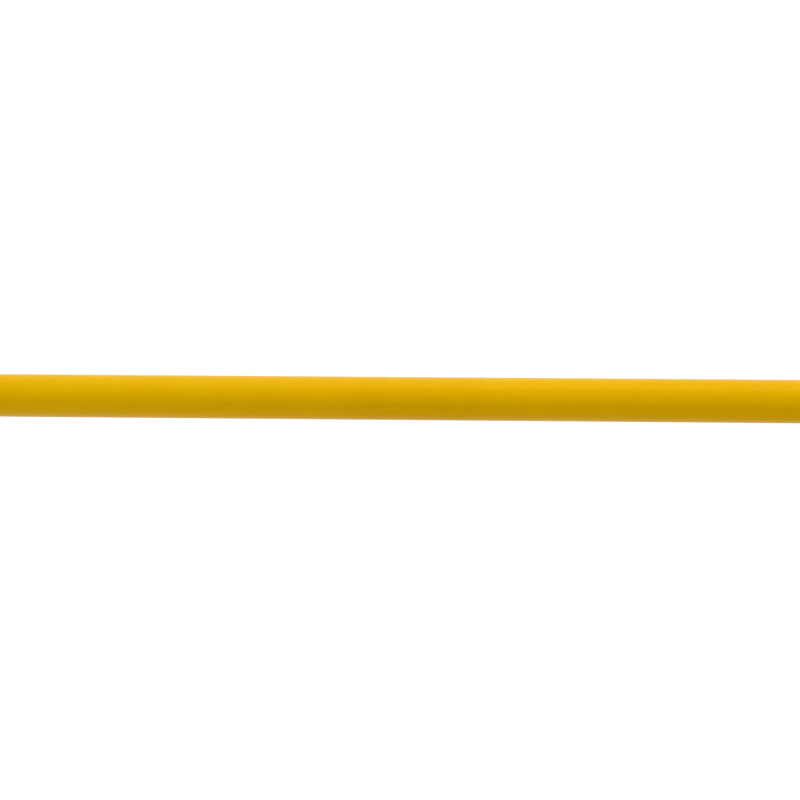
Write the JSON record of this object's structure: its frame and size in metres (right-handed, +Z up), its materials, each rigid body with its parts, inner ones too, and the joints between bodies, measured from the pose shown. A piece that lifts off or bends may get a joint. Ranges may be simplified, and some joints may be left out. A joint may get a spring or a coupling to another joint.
{
  "type": "windsock with pole",
  "caption": "Banded windsock on a hooped swivelling frame, on a round yellow pole that tips down on a slotted hinge base",
  "frame": {"origin": "middle of the base plate's underside", "axes": "+Z up the pole, +X the way the sock streams, the mast tips over towards -X, Y along the pivot bolt"},
  "size_m": [0.621, 0.3154, 2.6561],
  "materials": {
    "yellow_coat": "semi-gloss golden-yellow powder coat on steel tube",
    "galvanised_steel": "hot-dip galvanised, matt grey with a faint spangle",
    "bright_steel": "plain stainless, lightly brushed",
    "bronze": "oiled bearing bronze",
    "black_plastic": "moulded black nylon",
    "black_rubber": "matt black rubber",
    "orange_cloth": "woven orange nylon",
    "white_cloth": "woven white nylon"
  },
  "bodies": {
    "base": {"base_plate": "galvanised_steel", "cheek_left": "galvanised_steel", "cheek_right": "galvanised_steel", "base_gusset_1": "galvanised_steel", "base_gusset_2": "galvanised_steel", "base_gusset_3": "galvanised_steel", "base_gusset_4": "galvanised_steel", "pivot_bolt": "bright_steel", "pivot_nut": "bright_steel", "pivot_washer_1": "bright_steel", "pivot_washer_2": "bright_steel"},
    "mast": {"mast_foot": "galvanised_steel", "pivot_bush": "bronze", "shoe_bolt_1": "bright_steel", "shoe_bolt_2": "bright_steel", "shoe_nut_1": "bright_steel", "shoe_nut_2": "bright_steel", "clamp_bolt": "bright_steel", "clamp_washer_1": "bright_steel", "clamp_washer_2": "bright_steel", "clamp_nut": "bright_steel", "pole": "yellow_coat", "spindle": "bright_steel", "spindle_screw_1": "bright_steel", "spindle_screw_2": "bright_steel", "spindle_screw_3": "bright_steel", "spindle_washer": "bright_steel", "spindle_nut": "bright_steel", "lower_bearing_inner": "bright_steel", "upper_bearing_inner": "bright_steel"},
    "lever": {"clamp_lever": "black_plastic"},
    "head": {"hub": "galvanised_steel", "dust_seal": "black_rubber", "rain_cap": "black_plastic", "lower_bearing_outer": "bright_steel", "upper_bearing_outer": "bright_steel", "lower_bearing_cage": "bronze", "upper_bearing_cage": "bronze", "mouth_hoop": "galvanised_steel", "rear_hoop": "galvanised_steel", "upper_arm": "galvanised_steel", "lower_arm": "galvanised_steel", "strut_1": "galvanised_steel", "strut_2": "galvanised_steel", "strut_3": "galvanised_steel", "strut_4": "galvanised_steel", "sock_band_1": "orange_cloth", "sock_tie_1": "black_plastic", "sock_tie_2": "black_plastic", "sock_tie_3": "black_plastic", "sock_tie_4": "black_plastic", "sock_tie_5": "black_plastic", "sock_tie_6": "black_plastic", "sock_tie_7": "black_plastic", "sock_tie_8": "black_plastic"},
    "tail": {"sock_band_2": "white_cloth", "sock_band_3": "orange_cloth", "sock_band_4": "white_cloth", "sock_band_5": "orange_cloth"}
  },
  "joints": [
    {"name": "mast_tilt", "type": "hinge", "parent": "base", "child": "mast", "pos_m": [0, 0, 0.085], "axis": [0, -1, 0], "range_deg": [0, 90]},
    {"name": "lever_turn", "type": "hinge", "parent": "mast", "child": "lever", "pos_m": [0, 0, 0.145], "axis": [0, 1, 0], "range_deg": [0, 60]},
    {"name": "head_swivel", "type": "hinge", "parent": "mast", "child": "head", "pos_m": [0, 0, 2.4984], "axis": [0, 0, 1], "continuous": true},
    {"name": "tail_lift", "type": "hinge", "parent": "head", "child": "tail", "pos_m": [0.34, 0, 2.4284], "axis": [0, -1, 0], "range_deg": [0, 80]}
  ]
}
